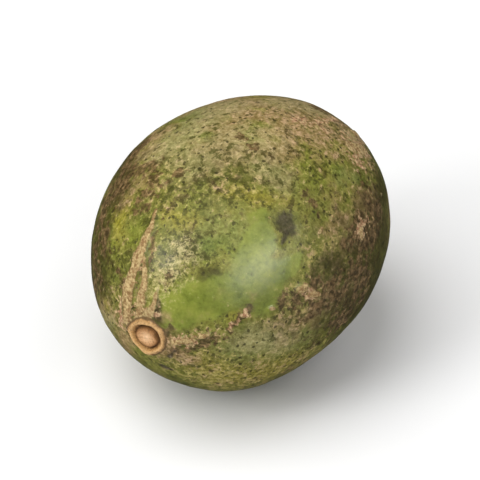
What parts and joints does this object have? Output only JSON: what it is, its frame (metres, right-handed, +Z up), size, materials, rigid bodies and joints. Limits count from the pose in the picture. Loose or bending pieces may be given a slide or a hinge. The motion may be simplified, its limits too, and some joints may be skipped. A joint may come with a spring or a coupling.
{
  "type": "hog plum",
  "caption": "Whole fresh hog plum: an oval green fruit with mottled russet skin and a round stem scar, lying on its side on a small flat spot.",
  "frame": {"origin": "on the resting surface, under the middle of the fruit's box", "axes": "+Y along the fruit's long axis, from the stem scar to the far end; +Z up; +X to the right when the stem scar faces the viewer"},
  "size_m": [0.0372, 0.046, 0.0358],
  "materials": {
    "skin": "waxy satin green skin with fine dark speckle, matte tan and brown russet"
  },
  "bodies": {
    "root": {"fruit": "skin"}
  },
  "joints": []
}
